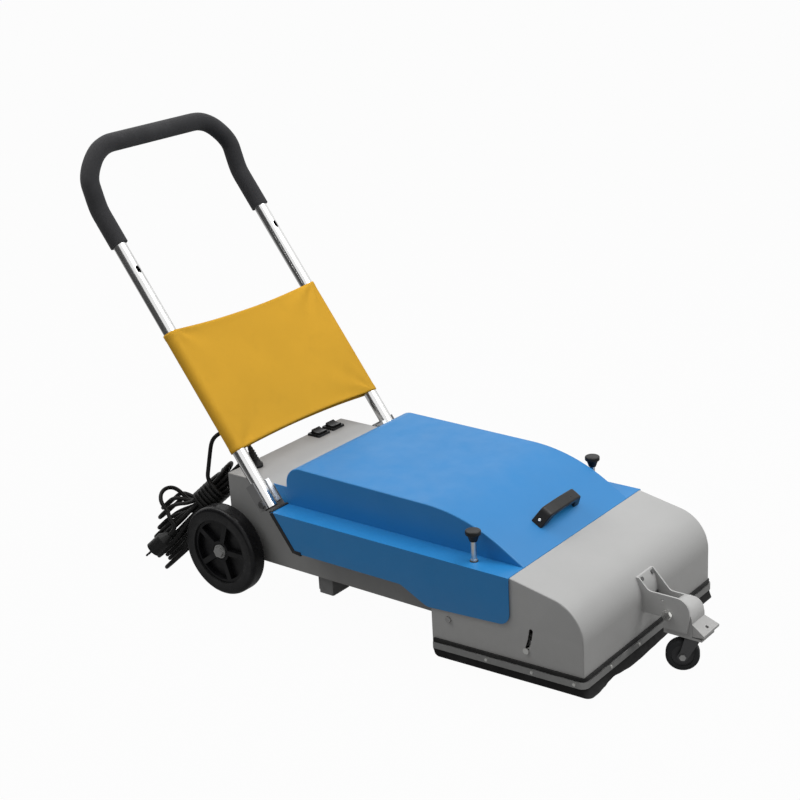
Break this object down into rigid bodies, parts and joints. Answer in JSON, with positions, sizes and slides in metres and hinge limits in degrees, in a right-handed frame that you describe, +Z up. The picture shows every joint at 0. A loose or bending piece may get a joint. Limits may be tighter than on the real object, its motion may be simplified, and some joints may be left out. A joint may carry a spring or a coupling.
{
  "type": "escalator cleaning machine",
  "caption": "Walk-behind escalator step cleaner: low brush head under a blue hood, big rear wheels, tipping front caster, folding push handle with a cloth sleeve, coiled mains cord.",
  "frame": {"origin": "middle of the machine's box on the floor, cord left out", "axes": "+Z up, -Y towards the brush head and caster, -X the side with the mains cord"},
  "size_m": [0.6069, 1.5348, 1.055],
  "materials": {
    "blue_paint": "glossy blue enamel",
    "grey_paint": "satin grey enamel",
    "bracket_paint": "satin light grey enamel",
    "skirt_rubber": "dull",
    "strip_steel": "brushed",
    "screw_steel": "zinc plated",
    "black_plastic": "moulded",
    "rocker_black": "moulded",
    "wheel_tyre": "dull",
    "wheel_hub": "moulded",
    "chrome_tube": "bright plated",
    "grip_foam": "fine-celled foam",
    "yellow_cloth": "woven",
    "fork_zinc": "zinc plated",
    "caster_tyre": "dull",
    "caster_hub": "moulded",
    "cord_sheath": "smooth sheath",
    "shaft_steel": "machined",
    "bronze": "machined",
    "belt_rubber": "dull",
    "motor_case": "cast",
    "duct_plastic": "moulded",
    "brush_core": "moulded",
    "bristle": "nylon"
  },
  "bodies": {
    "chassis": {"body_tub": "grey_paint", "control_deck": "grey_paint", "head_shell": "grey_paint", "hood": "blue_paint", "skirt_rubber": "skirt_rubber", "skirt_strip": "strip_steel", "skirt_screws": "screw_steel", "caster_bracket": "bracket_paint", "bracket_screws": "screw_steel", "lever_bolt": "screw_steel", "pull_handle": "black_plastic", "rear_axle": "shaft_steel", "axle_blocks": "shaft_steel", "axle_nuts": "screw_steel", "rail_bracket_left": "grey_paint", "rail_bracket_right": "grey_paint", "pivot_bolts": "screw_steel", "rest_feet": "skirt_rubber", "foot_pads": "skirt_rubber", "switch_frames": "black_plastic", "brush_motor": "motor_case", "drive_belt": "belt_rubber", "bearing_plates": "shaft_steel", "bearing_bolts": "screw_steel", "vacuum_motor": "motor_case", "dust_box": "duct_plastic", "suction_duct": "duct_plastic", "adjuster_bushes": "bronze", "cord_boot": "cord_sheath", "cord_lead": "cord_sheath", "cord_hank": "cord_sheath", "cord_plug": "cord_sheath"},
    "handle": {"handle_frame": "chrome_tube", "hinge_block_left": "chrome_tube", "hinge_block_right": "chrome_tube", "rail_plugs": "black_plastic", "grip_foam": "grip_foam", "cloth_sleeve": "yellow_cloth"},
    "wheel_left": {"tyre_left": "wheel_tyre", "hub_left": "wheel_hub"},
    "wheel_right": {"tyre_right": "wheel_tyre", "hub_right": "wheel_hub"},
    "caster_lever": {"caster_arm": "bracket_paint"},
    "caster_swivel": {"caster_fork": "fork_zinc", "caster_axle": "screw_steel"},
    "caster_wheel": {"caster_tyre": "caster_tyre", "caster_hub": "caster_hub"},
    "rocker_inner": {"rocker_inner": "rocker_black"},
    "rocker_outer": {"rocker_outer": "rocker_black"},
    "adjuster_left": {"knob_left": "black_plastic", "adjuster_screw_left": "screw_steel"},
    "adjuster_right": {"knob_right": "black_plastic", "adjuster_screw_right": "screw_steel"},
    "carriage": {"brush_carriage": "shaft_steel", "guide_bolts": "screw_steel", "brush_belt": "belt_rubber"},
    "brush": {"brush_core": "brush_core", "brush_bristles": "bristle"},
    "jackshaft": {"jackshaft": "shaft_steel"},
    "motor_rotor": {"motor_pulley": "shaft_steel"}
  },
  "joints": [
    {"name": "handle_fold", "type": "hinge", "parent": "chassis", "child": "handle", "pos_m": [0, 0.23757, 0.259], "axis": [1, 0, 0], "range_deg": [0, 66]},
    {"name": "rear_wheel_left_spin", "type": "hinge", "parent": "chassis", "child": "wheel_left", "pos_m": [-0.25, 0.38057, 0.11], "axis": [1, 0, 0], "continuous": true},
    {"name": "rear_wheel_right_spin", "type": "hinge", "parent": "chassis", "child": "wheel_right", "pos_m": [0.25, 0.38057, 0.11], "axis": [1, 0, 0], "continuous": true},
    {"name": "caster_lever_lift", "type": "hinge", "parent": "chassis", "child": "caster_lever", "pos_m": [0, -0.68143, 0.129], "axis": [-1, 0, 0], "range_deg": [0, 68]},
    {"name": "caster_swivel_turn", "type": "hinge", "parent": "caster_lever", "child": "caster_swivel", "pos_m": [0, -0.72343, 0.084], "axis": [0, 0, 1], "continuous": true},
    {"name": "caster_wheel_spin", "type": "hinge", "parent": "caster_swivel", "child": "caster_wheel", "pos_m": [-0.00939, -0.70577, 0.036], "axis": [0.8829, 0.4695, 0], "continuous": true},
    {"name": "rocker_inner_tip", "type": "hinge", "parent": "chassis", "child": "rocker_inner", "pos_m": [0.097, 0.36657, 0.288], "axis": [-1, 0, 0], "range_deg": [0, 18]},
    {"name": "rocker_outer_tip", "type": "hinge", "parent": "chassis", "child": "rocker_outer", "pos_m": [0.152, 0.36657, 0.288], "axis": [-1, 0, 0], "range_deg": [0, 18]},
    {"name": "brush_lift", "type": "hinge", "parent": "chassis", "child": "carriage", "pos_m": [0, -0.29443, 0.17], "axis": [-1, 0, 0], "range_deg": [0, 14]},
    {"name": "adjuster_left_turn", "type": "hinge", "parent": "chassis", "child": "adjuster_left", "pos_m": [-0.237, -0.33843, 0.252], "axis": [0, 0, 1], "range_deg": [0, 1400]},
    {"name": "adjuster_right_turn", "type": "hinge", "parent": "chassis", "child": "adjuster_right", "pos_m": [0.237, -0.33843, 0.252], "axis": [0, 0, 1], "range_deg": [0, 1400]},
    {"name": "brush_spin", "type": "hinge", "parent": "carriage", "child": "brush", "pos_m": [0, -0.48344, 0.09593], "axis": [1, 0, 0], "continuous": true},
    {"name": "jackshaft_spin", "type": "hinge", "parent": "chassis", "child": "jackshaft", "pos_m": [0, -0.29443, 0.17], "axis": [1, 0, 0], "continuous": true},
    {"name": "motor_spin", "type": "hinge", "parent": "chassis", "child": "motor_rotor", "pos_m": [0.178, -0.17143, 0.226], "axis": [1, 0, 0], "continuous": true}
  ],
  "couplings": [
    {"joint": "adjuster_left_turn", "follows": "brush_lift", "ratio": 98.82},
    {"joint": "adjuster_right_turn", "follows": "brush_lift", "ratio": 98.82},
    {"joint": "jackshaft_spin", "follows": "brush_spin", "ratio": 1.1071},
    {"joint": "motor_spin", "follows": "brush_spin", "ratio": 1.9929}
  ]
}
